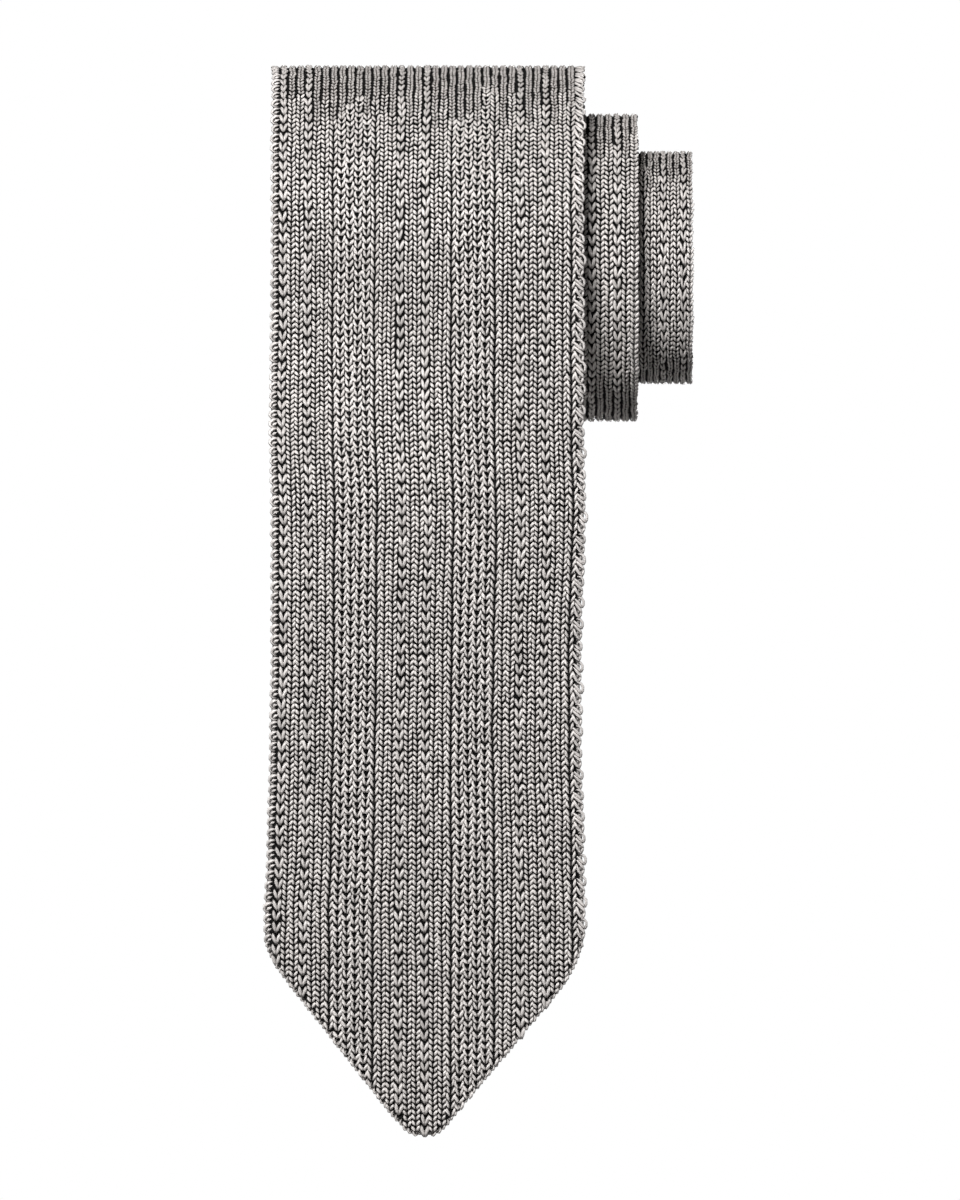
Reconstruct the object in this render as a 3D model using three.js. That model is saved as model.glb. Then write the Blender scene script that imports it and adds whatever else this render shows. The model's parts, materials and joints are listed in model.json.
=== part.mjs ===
// A knit tie, folded in half at the neck and rolled up loosely from that fold. The wide blade
// leaves the roll at its front and hangs straight down, and the tail hangs hidden behind it.
// Each half is a flat tube: a front layer of knit, and two flaps of it that meet in a seam
// down the back. Millimetres, +Z up. The blade faces -Y, and +X is to its right as it is seen.
// The origin is on the roll's axis, behind the middle of the blade.
import * as THREE from 'three';

// The knitted cloth
const wall = 1.25; // one layer of knit
const hollow = 0.5; // between the front layer and the flaps
const seamSlit = 0.5; // between the two flaps, along the middle of the back

// The blade and its point
const bladeWidth = 80;
const pointAngle = 38; // degrees between each edge of the point and the blade's length
const pointRounding = 7.6; // radius at the very tip
const pointHem = 8; // the two layers are sewn together this far up from the tip
const pointLean = -0.6; // how far the tip lies off the middle of the blade
const shoulderRounding = 3;
const neckWidth = 38;

// The tail
const tailWidth = 44;
const tailRounding = 5;
const tailRise = 15; // the tail's tip ends this far above the blade's

// The roll
const rollRadius = 50.6; // outside of its first turn
const slackDepth = 31.4; // half the depth of that turn at the blade's left edge, where it sags flat
const turnShift = 13.7; // each turn stands this far out to the right of the one around it
const bladeDrop = 217.2; // from the roll's axis down to the tip
const slackTop = 16; // below the axis, where the left side starts to come forward
const slackBottom = 62; // below the axis, where the whole blade hangs in one plane
const foldTurn = 9.45; // quarter turns from the front of the roll to the neck fold
const foldRadius = 3.6; // middle of the cloth round the neck fold
const foldEase = 0.7; // quarter turns over which the two plies spread to make that fold
const plyGap = 0.6; // between the two plies of the folded tie
const seamPastFold = 0.3; // quarter turns from the fold to the seam that joins the halves
const seamGap = 0.35; // clearance between the two halves at that seam

// The turns, each at the front of the roll: radius as a share of rollRadius, and shifts to
// the right. The cloth passes from one row to the next round the back of the roll.
const shiftStart = 1.45; // quarter turns from the front before each shift begins
const turns = [
  { radius: 1.0, shifts: 0 },
  { radius: 0.76, shifts: 1 },
  { radius: 0.575, shifts: 2 },
];

// The blade's edges as it hangs: height over the tip as a share of bladeDrop, and each edge's
// distance from the middle as a share of half the blade's width.
const bladeEdges = [
  { up: 0.0, left: 1.02, right: 0.99 },
  { up: 0.25, left: 1.02, right: 0.99 },
  { up: 0.33, left: 1.0, right: 0.98 },
  { up: 0.45, left: 0.985, right: 0.965 },
  { up: 0.55, left: 0.975, right: 0.965 },
  { up: 0.72, left: 0.975, right: 0.99 },
  { up: 0.81, left: 0.985, right: 0.98 },
  { up: 1.0, left: 0.975, right: 0.98 },
];

// The sewn edges of the point swell a little: height as a share of the point's, and each
// edge's swelling as a share of bladeWidth.
const pointBulges = [
  { up: 0.0, left: 0.0, right: 0.0 },
  { up: 0.15, left: 0.009, right: 0.002 },
  { up: 0.5, left: 0.009, right: 0.014 },
  { up: 0.8, left: 0.01, right: 0.024 },
  { up: 1.0, left: 0.004, right: 0.004 },
];

// How finely the cloth is divided
const pointSteps = 8;
const shoulderSteps = 5;
const straightSteps = 6;
const slackSteps = 6;
const stepsPerQuarter = 6;
const foldSteps = 6;
const edgeSteps = 3;
const wideSteps = { front: 6, flap: 3 };
const tailSteps = { front: 4, flap: 2 };

const thickness = 2 * wall + hollow;
const halfThickness = thickness / 2;
const halfBlade = bladeWidth / 2;
const angle = THREE.MathUtils.degToRad(pointAngle);
const quarter = Math.PI / 2;
const nudge = 1e-3; // quarter turns and millimetres, for slopes

const mix = (from, to, share) => from + (to - from) * share;
const ramp = (from, to, value) => THREE.MathUtils.clamp((value - from) / (to - from), 0, 1);
const ease = (from, to, value) => THREE.MathUtils.smoothstep(value, from, to);

function softMin(a, b, reach) {
  const share = THREE.MathUtils.clamp(0.5 + (b - a) / (2 * reach), 0, 1);
  return mix(b, a, share) - reach * share * (1 - share);
}

// A column of a table, eased between its rows.
function column(table, key, name, value) {
  const next = table.findIndex((row) => row[key] > value);
  if (next < 1) return table[next === 0 ? 0 : table.length - 1][name];
  const [low, high] = [table[next - 1], table[next]];
  return mix(low[name], high[name], ease(low[key], high[key], value));
}

// Where a place along the cloth lies is its turn: from -1 at the blade's tip to 0 at the
// roll's axis it hangs, and from there on it counts quarter turns up and over the roll.
function rowOfTurns(turn, name, start) {
  const around = Math.max(turn, 0);
  const done = Math.min(Math.floor((around + 1) / 4), turns.length - 1);
  const next = Math.min(done + 1, turns.length - 1);
  return mix(turns[done][name], turns[next][name], ease(4 * done + start, 4 * done + 3, around));
}

// The left side of the roll has only the blade's own turn in it and sags flatter.
function depthShare(x) {
  const slack = slackDepth / rollRadius;
  return mix(slack, 1, ease(-1.05 * halfBlade, 0.55 * halfBlade, x));
}

// The middle of the wide half's cloth, at a distance x from the middle of the blade.
function clothMiddle(turn, x) {
  const front = -depthShare(x) * (rollRadius - halfThickness);
  if (turn < 0) {
    const z = turn * bladeDrop;
    const hanging = ease(slackTop, slackBottom, -z);
    return new THREE.Vector3(x, mix(front, halfThickness - rollRadius, hanging), z);
  }
  const radius = rollRadius * rowOfTurns(turn, 'radius', 1) - halfThickness;
  const y = -depthShare(x) * radius * Math.cos(turn * quarter);
  return new THREE.Vector3(x, y, radius * Math.sin(turn * quarter));
}

function clothNormal(turn, x) {
  const along = clothMiddle(turn + nudge, x).sub(clothMiddle(turn - nudge, x));
  const across = clothMiddle(turn, x + nudge).sub(clothMiddle(turn, x - nudge));
  return across.cross(along).normalize();
}

// A point of the wide half: out is measured from the middle of the cloth towards its face.
function widePoint(turn, x, out) {
  return clothMiddle(turn, x).addScaledVector(clothNormal(turn, x), out);
}

// The tail lies against the back of the wide half, and its face looks the other way.
function tailPoint(turn, x, out) {
  const apart = mix(thickness + plyGap, 2 * foldRadius, ease(foldTurn - foldEase, foldTurn, turn));
  return widePoint(turn, x, -apart - out);
}

// Round the neck fold, turned by 0 on the wide half's side to half a circle on the tail's.
function foldPoint(turned, x, out) {
  const radial = clothNormal(foldTurn, x);
  const forward = clothMiddle(foldTurn + nudge, x).sub(clothMiddle(foldTurn, x)).normalize();
  return clothMiddle(foldTurn, x)
    .addScaledVector(radial, -foldRadius + (foldRadius + out) * Math.cos(turned))
    .addScaledVector(forward, (foldRadius + out) * Math.sin(turned));
}

// How much of a sharp point its rounding takes away.
const cutAway = (rounding) => rounding * (1 / Math.sin(angle) - 1);

// Half the width of a point, at a height over its tip.
function halfPoint(height, rounding) {
  if (height < rounding * (1 - Math.sin(angle))) {
    return Math.sqrt(rounding ** 2 - (rounding - height) ** 2);
  }
  return (height + cutAway(rounding)) * Math.tan(angle);
}

// The left and right edges of the wide half.
function wideEdges(turn) {
  const up = Math.min(turn, 0) + 1;
  const left = halfBlade * column(bladeEdges, 'up', 'left', up);
  const right = halfBlade * column(bladeEdges, 'up', 'right', up);
  if (turn > 0) {
    const end = right + turnShift * rowOfTurns(turn, 'shifts', shiftStart);
    return [end - mix(left + right, neckWidth, ramp(1, foldTurn, turn)), end];
  }
  const half = halfPoint(up * bladeDrop, pointRounding);
  const share = (up * bladeDrop) / (halfBlade / Math.tan(angle) - cutAway(pointRounding));
  const leftPoint = half + bladeWidth * column(pointBulges, 'up', 'left', share) - pointLean;
  const rightPoint = half + bladeWidth * column(pointBulges, 'up', 'right', share) + pointLean;
  return [-softMin(left, leftPoint, shoulderRounding), softMin(right, rightPoint, shoulderRounding)];
}

// The left and right edges of the tail, in the middle of the wide half's.
function tailEdges(turn) {
  const [left, right] = wideEdges(Math.max(turn, 0));
  const middle = mix(0, (left + right) / 2, ramp(0, 1, turn));
  const half = mix(tailWidth, neckWidth, ramp(0, foldTurn, turn)) / 2;
  const height = (turn + 1) * bladeDrop - tailRise;
  const reach = softMin(half, turn < 0 ? halfPoint(height, tailRounding) : half + tailWidth,
    shoulderRounding);
  return [middle - reach, middle + reach];
}

// Heights over the blade's tip where a hanging end is divided, from its own tip to the axis.
function hangingHeights(rise, width, rounding) {
  const shoulder = width / 2 / Math.tan(angle) - cutAway(rounding);
  const reach = 2 * shoulderRounding;
  const heights = [];
  for (let i = 0; i <= pointSteps; i += 1) {
    heights.push(rise + (shoulder - reach) * Math.max(i / pointSteps, 0.05) ** 2);
  }
  for (let i = 1; i <= shoulderSteps; i += 1) {
    heights.push(rise + mix(shoulder - reach, shoulder + reach, i / shoulderSteps));
  }
  const slackStart = bladeDrop - slackBottom;
  for (let i = 1; i <= straightSteps; i += 1) {
    heights.push(mix(rise + shoulder + reach, slackStart, i / straightSteps));
  }
  for (let i = 1; i <= slackSteps; i += 1) {
    heights.push(mix(slackStart, bladeDrop, i / slackSteps));
  }
  return heights;
}

// A station is one cross-section of a half: its edges, how much of its thickness is left as it
// rounds off at a tip, whether it is hollow, and where its points go.
function hangingStations(rise, width, rounding, edges, place) {
  return hangingHeights(rise, width, rounding).map((height) => {
    const turn = height / bladeDrop - 1;
    const over = height - rise;
    const thin = Math.sqrt(1 - (1 - Math.min(over / halfThickness, 1)) ** 2);
    return { edges: edges(turn), thin, hollow: over >= pointHem, place: place.bind(null, turn) };
  });
}

function rolledStations(from, to, edges, place) {
  const steps = Math.max(1, Math.round(Math.abs(to - from) * stepsPerQuarter));
  return Array.from({ length: steps }, (_, i) => {
    const turn = mix(from, to, (i + 1) / steps);
    return { edges: edges(turn), thin: 1, hollow: true, place: place.bind(null, turn) };
  });
}

function foldStations() {
  return Array.from({ length: foldSteps }, (_, i) => {
    const turned = (Math.PI * (i + 1)) / foldSteps;
    return { edges: wideEdges(foldTurn), thin: 1, hollow: true, place: foldPoint.bind(null, turned) };
  });
}

// One side of the tube in section, from the seam round the right edge, the front and the left
// edge back to the seam: half is the layer's distance from the middle of the tube.
function sectionLoop({ edges: [left, right], thin, place }, half, steps) {
  const inset = Math.min(halfThickness, (right - left) * 0.4);
  const middle = (left + right) / 2;
  const slit = Math.min(seamSlit / 2, (right - left) * 0.05);
  const round = (inset * half) / halfThickness;
  const points = [];
  const add = (x, out) => points.push(place(x, out * thin));
  for (let i = 0; i <= steps.flap; i += 1) {
    add(mix(middle + slit, right - inset, i / steps.flap), -half);
  }
  for (let i = 1; i < edgeSteps; i += 1) {
    const turned = (Math.PI * i) / edgeSteps;
    add(right - inset + round * Math.sin(turned), -half * Math.cos(turned));
  }
  for (let i = 0; i <= steps.front; i += 1) {
    add(mix(right - inset, left + inset, i / steps.front), half);
  }
  for (let i = 1; i < edgeSteps; i += 1) {
    const turned = (Math.PI * i) / edgeSteps;
    add(left + inset - round * Math.sin(turned), half * Math.cos(turned));
  }
  for (let i = 0; i <= steps.flap; i += 1) {
    add(mix(left + inset, middle - slit, i / steps.flap), -half);
  }
  return points;
}

// Skins a run of stations as one closed body, solid where it starts at a tip, and then a
// hollow tube that is open along its seam and at its last station. The tail is turned over.
function tube(stations, steps, turnedOver) {
  const points = [];
  const faces = [];
  const store = (loop) => loop.map((point) => points.push(point) - 1);
  const quad = (a, b, c, d) => faces.push(c, b, a, d, c, a);
  const rows = stations.map((station) => ({
    outer: store(sectionLoop(station, halfThickness, steps)),
    inner: station.hollow ? store(sectionLoop(station, hollow / 2, steps)) : null,
    middle: store([station.place((station.edges[0] + station.edges[1]) / 2, 0)])[0],
  }));
  const last = rows[0].outer.length - 1;
  const fan = (middle, loop) => {
    for (let j = 0; j <= last; j += 1) faces.push(loop[(j + 1) % (last + 1)], loop[j], middle);
  };
  rows.slice(1).forEach((row, i) => {
    const before = rows[i];
    for (let j = 0; j < last; j += 1) {
      quad(before.outer[j], before.outer[j + 1], row.outer[j + 1], row.outer[j]);
      if (before.inner) quad(before.inner[j + 1], before.inner[j], row.inner[j], row.inner[j + 1]);
    }
    if (before.inner) {
      quad(before.outer[last], before.inner[last], row.inner[last], row.outer[last]);
      quad(before.inner[0], before.outer[0], row.outer[0], row.inner[0]);
    } else {
      quad(before.outer[last], before.outer[0], row.outer[0], row.outer[last]);
    }
    if (row.inner && !before.inner) {
      fan(row.middle, row.inner);
      quad(row.outer[0], row.inner[0], row.inner[last], row.outer[last]);
    }
  });
  const [tip, end] = [rows[0], rows[rows.length - 1]];
  fan(tip.middle, [...tip.outer].reverse());
  for (let j = 0; j < last; j += 1) {
    quad(end.outer[j], end.outer[j + 1], end.inner[j + 1], end.inner[j]);
  }
  const geometry = new THREE.BufferGeometry().setFromPoints(points);
  geometry.setIndex(turnedOver ? faces.reverse() : faces);
  const flat = geometry.toNonIndexed();
  flat.computeVertexNormals();
  return flat;
}

function wideHalf() {
  const seamTurn = foldTurn - seamPastFold;
  const stations = [
    ...hangingStations(0, bladeWidth, pointRounding, wideEdges, widePoint),
    ...rolledStations(0, foldTurn, wideEdges, widePoint),
    ...foldStations(),
    ...rolledStations(foldTurn, seamTurn, wideEdges, tailPoint),
  ];
  return tube(stations, wideSteps, false);
}

function tailHalf() {
  const inside = rollRadius * turns[turns.length - 1].radius - thickness - 2 * foldRadius;
  const seamTurn = foldTurn - seamPastFold - seamGap / (inside * quarter);
  const stations = [
    ...hangingStations(tailRise, tailWidth, tailRounding, tailEdges, tailPoint),
    ...rolledStations(0, seamTurn, tailEdges, tailPoint),
  ];
  return tube(stations, tailSteps, true);
}

const silverKnit = { color: 0x8a8684, roughness: 0.72, metalness: 0 };

const tie = new THREE.Group();
tie.name = 'knit_tie';
for (const [name, geometry] of [['wide_half', wideHalf()], ['tail_half', tailHalf()]]) {
  const mesh = new THREE.Mesh(geometry, new THREE.MeshStandardMaterial(silverKnit));
  mesh.name = name;
  tie.add(mesh);
}

export default tie;
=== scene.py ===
import json
import math
import bpy
import numpy as np
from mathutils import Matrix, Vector

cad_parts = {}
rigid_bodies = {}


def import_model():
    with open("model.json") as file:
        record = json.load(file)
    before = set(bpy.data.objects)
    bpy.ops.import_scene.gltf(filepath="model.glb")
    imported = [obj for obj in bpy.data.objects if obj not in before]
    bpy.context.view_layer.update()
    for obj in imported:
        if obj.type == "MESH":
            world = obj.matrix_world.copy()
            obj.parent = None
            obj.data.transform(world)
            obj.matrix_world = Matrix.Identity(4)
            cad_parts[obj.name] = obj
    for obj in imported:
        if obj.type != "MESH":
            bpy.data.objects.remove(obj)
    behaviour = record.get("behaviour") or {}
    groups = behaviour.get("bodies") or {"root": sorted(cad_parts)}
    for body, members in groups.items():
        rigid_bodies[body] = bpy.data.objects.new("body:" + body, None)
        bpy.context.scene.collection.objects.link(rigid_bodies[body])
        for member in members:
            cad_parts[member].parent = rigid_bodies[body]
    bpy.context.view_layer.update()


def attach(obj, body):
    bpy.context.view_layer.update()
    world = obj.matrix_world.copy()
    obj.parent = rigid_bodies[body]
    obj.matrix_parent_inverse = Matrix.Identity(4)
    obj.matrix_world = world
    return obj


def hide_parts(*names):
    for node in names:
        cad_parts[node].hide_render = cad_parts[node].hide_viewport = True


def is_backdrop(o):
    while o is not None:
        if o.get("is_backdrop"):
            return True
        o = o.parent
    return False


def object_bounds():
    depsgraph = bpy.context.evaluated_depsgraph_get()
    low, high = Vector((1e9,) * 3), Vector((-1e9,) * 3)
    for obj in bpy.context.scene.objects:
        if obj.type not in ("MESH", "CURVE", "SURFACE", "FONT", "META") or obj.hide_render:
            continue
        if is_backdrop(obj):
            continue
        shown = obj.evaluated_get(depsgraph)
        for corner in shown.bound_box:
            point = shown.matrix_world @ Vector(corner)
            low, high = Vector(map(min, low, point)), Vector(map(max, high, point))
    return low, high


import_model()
scene = bpy.context.scene
dice = np.random.default_rng(11)
mm = 0.001

# the tie's own measures in millimetres, the same as its solids have
roll = {"radius": 50.6, "drop": 217.2, "shift": 13.7, "shiftStart": 1.45,
        "slackDepth": 31.4, "slackTop": 16.0, "slackBottom": 62.0, "slackLeft": 1.05,
        "slackRight": 0.55, "foldTurn": 9.45, "foldRadius": 3.6, "foldEase": 0.7,
        "plyGap": 0.6, "seamPastFold": 0.3}
blade = {"halfWidth": 40.0, "pointAngle": math.radians(38), "pointRounding": 7.6, "lean": -0.6,
         "shoulder": 3.0, "neckWidth": 38.0, "hem": 8.0}
tail = {"width": 44.0, "rounding": 5.0, "rise": 15.0}
thickness = 3.0
halfThickness = thickness / 2
turnRadius = np.array([1.0, 0.76, 0.575])  # share of the roll's radius, for each turn
turnShifts = np.array([0.0, 1.0, 2.0])
edgeTable = np.array([  # share up the blade, left and right edge over half the width
    [0.0, 1.02, 0.99], [0.25, 1.02, 0.99], [0.33, 1.0, 0.98], [0.45, 0.985, 0.965],
    [0.55, 0.975, 0.965], [0.72, 0.975, 0.99], [0.81, 0.985, 0.98], [1.0, 0.975, 0.98]])
bulgeTable = np.array([  # share up the point, swelling left and right over the full width
    [0.0, 0.0, 0.0], [0.15, 0.009, 0.002], [0.5, 0.009, 0.014], [0.8, 0.010, 0.024],
    [1.0, 0.004, 0.004]])


def eased(low, high, value):
    share = np.clip((value - low) / (high - low), 0, 1)
    return share * share * (3 - 2 * share)


def mixed(a, b, share):
    return a + (b - a) * share


def softMin(a, b, reach):
    share = np.clip(0.5 + (b - a) / (2 * reach), 0, 1)
    return mixed(b, a, share) - reach * share * (1 - share)


def fromTable(table, col, value):
    row = np.clip(np.searchsorted(table[:, 0], value, side="right") - 1, 0, len(table) - 2)
    share = eased(table[row, 0], table[row + 1, 0], value)
    return mixed(table[row, col], table[row + 1, col], share)


def fromTurns(values, turn, start):
    around = np.maximum(turn, 0)
    done = np.minimum(np.floor((around + 1) / 4), len(values) - 1).astype(int)
    after = np.minimum(done + 1, len(values) - 1)
    return mixed(values[done], values[after], eased(4 * done + start, 4 * done + 3, around))


# turn runs from -1 at the blade's tip to 0 level with the roll's axis, then quarter turns round it
def clothMiddle(turn, x):
    turn, x = np.broadcast_arrays(np.asarray(turn, float), np.asarray(x, float))
    slack = roll["slackDepth"] / roll["radius"]
    slackEnd = -roll["slackLeft"] * blade["halfWidth"]
    roundStart = roll["slackRight"] * blade["halfWidth"]
    depth = mixed(slack, 1.0, eased(slackEnd, roundStart, x))
    radius = roll["radius"] * fromTurns(turnRadius, turn, 1) - halfThickness
    z = np.where(turn < 0, turn * roll["drop"], radius * np.sin(turn * math.pi / 2))
    flat = mixed(-depth * radius, -radius, eased(roll["slackTop"], roll["slackBottom"], -z))
    y = np.where(turn < 0, flat, -depth * radius * np.cos(turn * math.pi / 2))
    return np.stack([x, y, z], axis=-1)


nudge = 1e-3  # step for slopes of the cloth


def unit(v):
    return v / np.linalg.norm(v, axis=-1, keepdims=True)


def clothOut(turn, x):
    along = clothMiddle(turn + nudge, x) - clothMiddle(turn - nudge, x)
    across = clothMiddle(turn, x + nudge) - clothMiddle(turn, x - nudge)
    return unit(np.cross(across, along))


def widePlace(turn, x, out):
    return clothMiddle(turn, x) + clothOut(turn, x) * np.asarray(out, float)[..., None]


def tailApart(turn):
    start = roll["foldTurn"] - roll["foldEase"]
    near = thickness + roll["plyGap"]
    return mixed(near, 2 * roll["foldRadius"], eased(start, roll["foldTurn"], turn))


def tailPlace(turn, x, out):
    return widePlace(turn, x, -tailApart(turn) - out)


def flapPlace(turn, x, out):
    return widePlace(turn, x, -np.asarray(out, float))


def foldPlace(turned, x, out):
    turn = roll["foldTurn"]
    radial = clothOut(turn, x)
    forward = unit(clothMiddle(turn + nudge, x) - clothMiddle(turn, x))
    reach = roll["foldRadius"] + np.asarray(out, float)[..., None]
    return (clothMiddle(turn, x) + radial * (reach * math.cos(turned) - roll["foldRadius"])
            + forward * reach * math.sin(turned))


def cutAway(rounding):
    return rounding * (1 / math.sin(blade["pointAngle"]) - 1)


def halfPoint(height, rounding):
    height = np.asarray(height, float)
    low = np.sqrt(np.maximum(rounding ** 2 - (rounding - height) ** 2, 0))
    high = (height + cutAway(rounding)) * math.tan(blade["pointAngle"])
    return np.where(height < rounding * (1 - math.sin(blade["pointAngle"])), low, high)


def bladeSides(turn):  # how far the cloth reaches left and right if it had no point
    up = np.minimum(turn, 0) + 1
    left = blade["halfWidth"] * fromTable(edgeTable, 1, up)
    right = blade["halfWidth"] * fromTable(edgeTable, 2, up)
    return left, right


def wideEdges(turn):
    turn = np.asarray(turn, float)
    left, right = bladeSides(turn)
    end = right + roll["shift"] * fromTurns(turnShifts, turn, roll["shiftStart"])
    narrowed = np.clip((turn - 1) / (roll["foldTurn"] - 1), 0, 1)
    start = end - mixed(left + right, blade["neckWidth"], narrowed)
    height = (np.minimum(turn, 0) + 1) * roll["drop"]
    half = halfPoint(height, blade["pointRounding"])
    pointTop = blade["halfWidth"] / math.tan(blade["pointAngle"]) - cutAway(blade["pointRounding"])
    share = height / pointTop
    full = 2 * blade["halfWidth"]
    leftHalf = half + full * fromTable(bulgeTable, 1, share) - blade["lean"]
    rightHalf = half + full * fromTable(bulgeTable, 2, share) + blade["lean"]
    hangLeft = -softMin(left, leftHalf, blade["shoulder"])
    hangRight = softMin(right, rightHalf, blade["shoulder"])
    return np.where(turn > 0, start, hangLeft), np.where(turn > 0, end, hangRight)


def tailEdges(turn):
    turn = np.asarray(turn, float)
    left, right = wideEdges(np.maximum(turn, 0))
    left0, right0 = bladeSides(0.0)
    left = np.where(turn > 0, left, -left0)
    right = np.where(turn > 0, right, right0)
    middle = mixed(0.0, (left + right) / 2, np.clip(turn, 0, 1))
    half = mixed(tail["width"], blade["neckWidth"], np.clip(turn / roll["foldTurn"], 0, 1)) / 2
    height = (turn + 1) * roll["drop"] - tail["rise"]
    point = np.where(turn < 0, halfPoint(height, tail["rounding"]), half + tail["width"])
    reach = softMin(half, point, blade["shoulder"])
    return middle - reach, middle + reach


# the knit: 37 wales over the blade, counted from its right edge, and what each one is made of:
# e edge loops, p plain, l long stitches, m the plainer open ones, t the staggered open ones
waleCount = 37
waleKinds = "em" + "pplpplpp" + "mttttm" + "pplpplpp" + "mttttm" + "pplppl" + "e"
course = 1.335
# on the second and third turn the wales lie closer, the courses are longer and wales are lost
innerKnit = {"secondPitch": 2.125, "thirdPitch": 1.66, "longer": 0.045,
             "secondLost": 2.0, "thirdLost": 1.0}


def intoTurns(turn):  # the way round the back into the second and into the third turn
    return eased(1.0, 3.0, turn), eased(5.0, 7.0, turn)


def walePitch(turn):
    left, right = bladeSides(turn)
    second, third = intoTurns(turn)
    pitch = mixed((left + right) / waleCount, innerKnit["secondPitch"], second)
    return mixed(pitch, innerKnit["thirdPitch"], third)


def walesLost(turn):  # wales that have gone over the right edge on the way round the back
    second, third = intoTurns(turn)
    return innerKnit["secondLost"] * second + innerKnit["thirdLost"] * third


def waleAt(turn, wale):
    edge = bladeSides(turn)[1] + roll["shift"] * fromTurns(turnShifts, turn, roll["shiftStart"])
    return edge - (wale + 0.5 - walesLost(turn)) * walePitch(turn)


def courseAt(turn):  # the stitches get a little longer towards the neck
    second, third = intoTurns(turn)
    return course * (1 + innerKnit["longer"] * second + innerKnit["longer"] * third)


# each stitch is two legs of yarn, with a row for each place along the right leg:
# across, along, out of the cloth, radius, and how light the yarn is painted there: painted shade
# where it lies deep in the cloth, full light where it lies in the open
stitchShapes = {
    "plain": {"legs": [[(0.92, 0.71, -0.20, 0.22, 0.3), (0.79, 0.33, 0.08, 0.37, 1.05),
                        (0.45, -0.23, 0.12, 0.38, 1.05), (0.15, -0.72, -0.14, 0.22, 0.2)]],
              "sides": 4},
    # the rib shapes serve over the top and bottom of each turn, and their yarn is painted darker
    # there: painted shade of the fold
    "plainRib": {"legs": [[(0.72, 0.74, -0.26, 0.24, 0.3), (0.60, 0.34, 0.05, 0.38, 0.72),
                           (0.36, -0.24, 0.14, 0.40, 0.72), (0.14, -0.76, -0.06, 0.25, 0.25)]],
                 "sides": 4},
    "long": {"legs": [[(0.82, 1.40, -0.16, 0.23, 0.4), (0.76, 0.90, 0.05, 0.38, 0.78),
                       (0.59, 0.26, 0.12, 0.45, 0.80), (0.36, -0.48, 0.14, 0.43, 0.82),
                       (0.10, -1.36, -0.06, 0.25, 0.4)]], "sides": 5},
    "longRib": {"legs": [[(0.60, 1.38, -0.20, 0.25, 0.4), (0.58, 0.90, 0.04, 0.37, 0.70),
                          (0.46, 0.26, 0.18, 0.44, 0.72), (0.30, -0.48, 0.18, 0.42, 0.72),
                          (0.10, -1.34, -0.06, 0.26, 0.4)]], "sides": 5},
    "wideVee": {"legs": [[(1.06, 1.00, -0.12, 0.27, 0.6), (0.88, 0.50, 0.13, 0.38, 1.1),
                          (0.50, -0.06, 0.18, 0.42, 1.2), (0.16, -0.56, 0.04, 0.33, 0.9)]],
                "sides": 5},
    "ring": {"legs": [[(0.80, 1.02, -0.20, 0.24, 0.4), (0.96, 0.36, 0.02, 0.33, 1.0),
                       (0.70, -0.40, 0.12, 0.37, 1.15), (0.20, -0.96, 0.04, 0.33, 0.9)]],
             "sides": 4},
    "narrowVee": {"legs": [[(0.76, 1.04, -0.14, 0.26, 0.6), (0.74, 0.42, 0.06, 0.34, 1.0),
                            (0.46, -0.34, 0.12, 0.37, 1.1), (0.14, -1.02, -0.02, 0.29, 0.7)]],
                  "sides": 4},
    "openVee": {"legs": [[(0.98, 1.00, -0.16, 0.25, 0.5), (0.88, 0.46, 0.07, 0.37, 1.0),
                          (0.60, -0.24, 0.09, 0.39, 1.0), (0.24, -0.94, -0.12, 0.28, 0.5)]],
                "sides": 4},
    "leftLoop": {"legs": [[(1.15, 1.04, -0.12, 0.34, 0.8), (0.22, 0.88, 0.08, 0.50, 1.1),
                           (-0.50, 0.36, 0.06, 0.43, 1.0), (-0.62, -0.46, 0.02, 0.33, 0.8),
                           (-0.12, -1.08, -0.03, 0.30, 0.6), (0.90, -1.18, -0.2, 0.25, 0.4)],
                          [(1.15, 0.02, -0.12, 0.28, 0.6), (0.46, -0.28, 0.09, 0.37, 1.1),
                           (-0.02, -0.72, 0.05, 0.31, 0.9)]],
                 "sides": 4, "single": True},
    "rightStrands": {"legs": [
        [(-1.36, 2.82, -0.08, 0.31, 0.9), (-0.58, 2.10, 0.12, 0.39, 1.1),
         (0.10, 1.44, 0.12, 0.39, 1.1), (0.74, 0.80, -0.05, 0.28, 0.8)],
        [(-0.55, 3.36, -0.16, 0.28, 0.6), (0.30, 3.20, 0.0, 0.34, 0.9),
         (0.90, 2.50, 0.0, 0.33, 0.9), (0.94, 1.55, 0.0, 0.33, 0.9),
         (0.66, 0.80, -0.12, 0.28, 0.6)],
        [(-1.34, 1.90, -0.08, 0.31, 0.9), (-0.42, 0.92, 0.08, 0.39, 1.1),
         (0.36, 0.20, 0.10, 0.39, 1.1), (0.64, -0.42, -0.08, 0.28, 0.8)],
        [(-1.40, 0.84, -0.08, 0.31, 0.9), (-0.94, -0.40, 0.10, 0.40, 1.1),
         (-0.40, -1.32, 0.10, 0.39, 1.1), (0.30, -2.04, -0.08, 0.28, 0.7)],
        [(0.62, -0.30, -0.12, 0.28, 0.6), (0.54, -1.05, -0.02, 0.33, 0.9),
         (0.16, -1.90, -0.04, 0.31, 0.7)]], "sides": 4, "single": True},
    "hem": {"legs": [[(-0.70, 0.72, -0.25, 0.22, 0.3), (0.14, 0.34, -0.02, 0.32, 0.85),
                      (0.44, -0.30, -0.05, 0.30, 0.8), (0.10, -0.72, -0.25, 0.20, 0.3)]],
            "sides": 4, "single": True},
}
hem = stitchShapes["hem"]  # the other edge has the same, mirrored
hemLegs = [[(-row[0], *row[1:]) for row in leg] for leg in hem["legs"]]
stitchShapes["hemLeft"] = {**hem, "legs": hemLegs}
shapeNames = sorted(stitchShapes)
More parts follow.
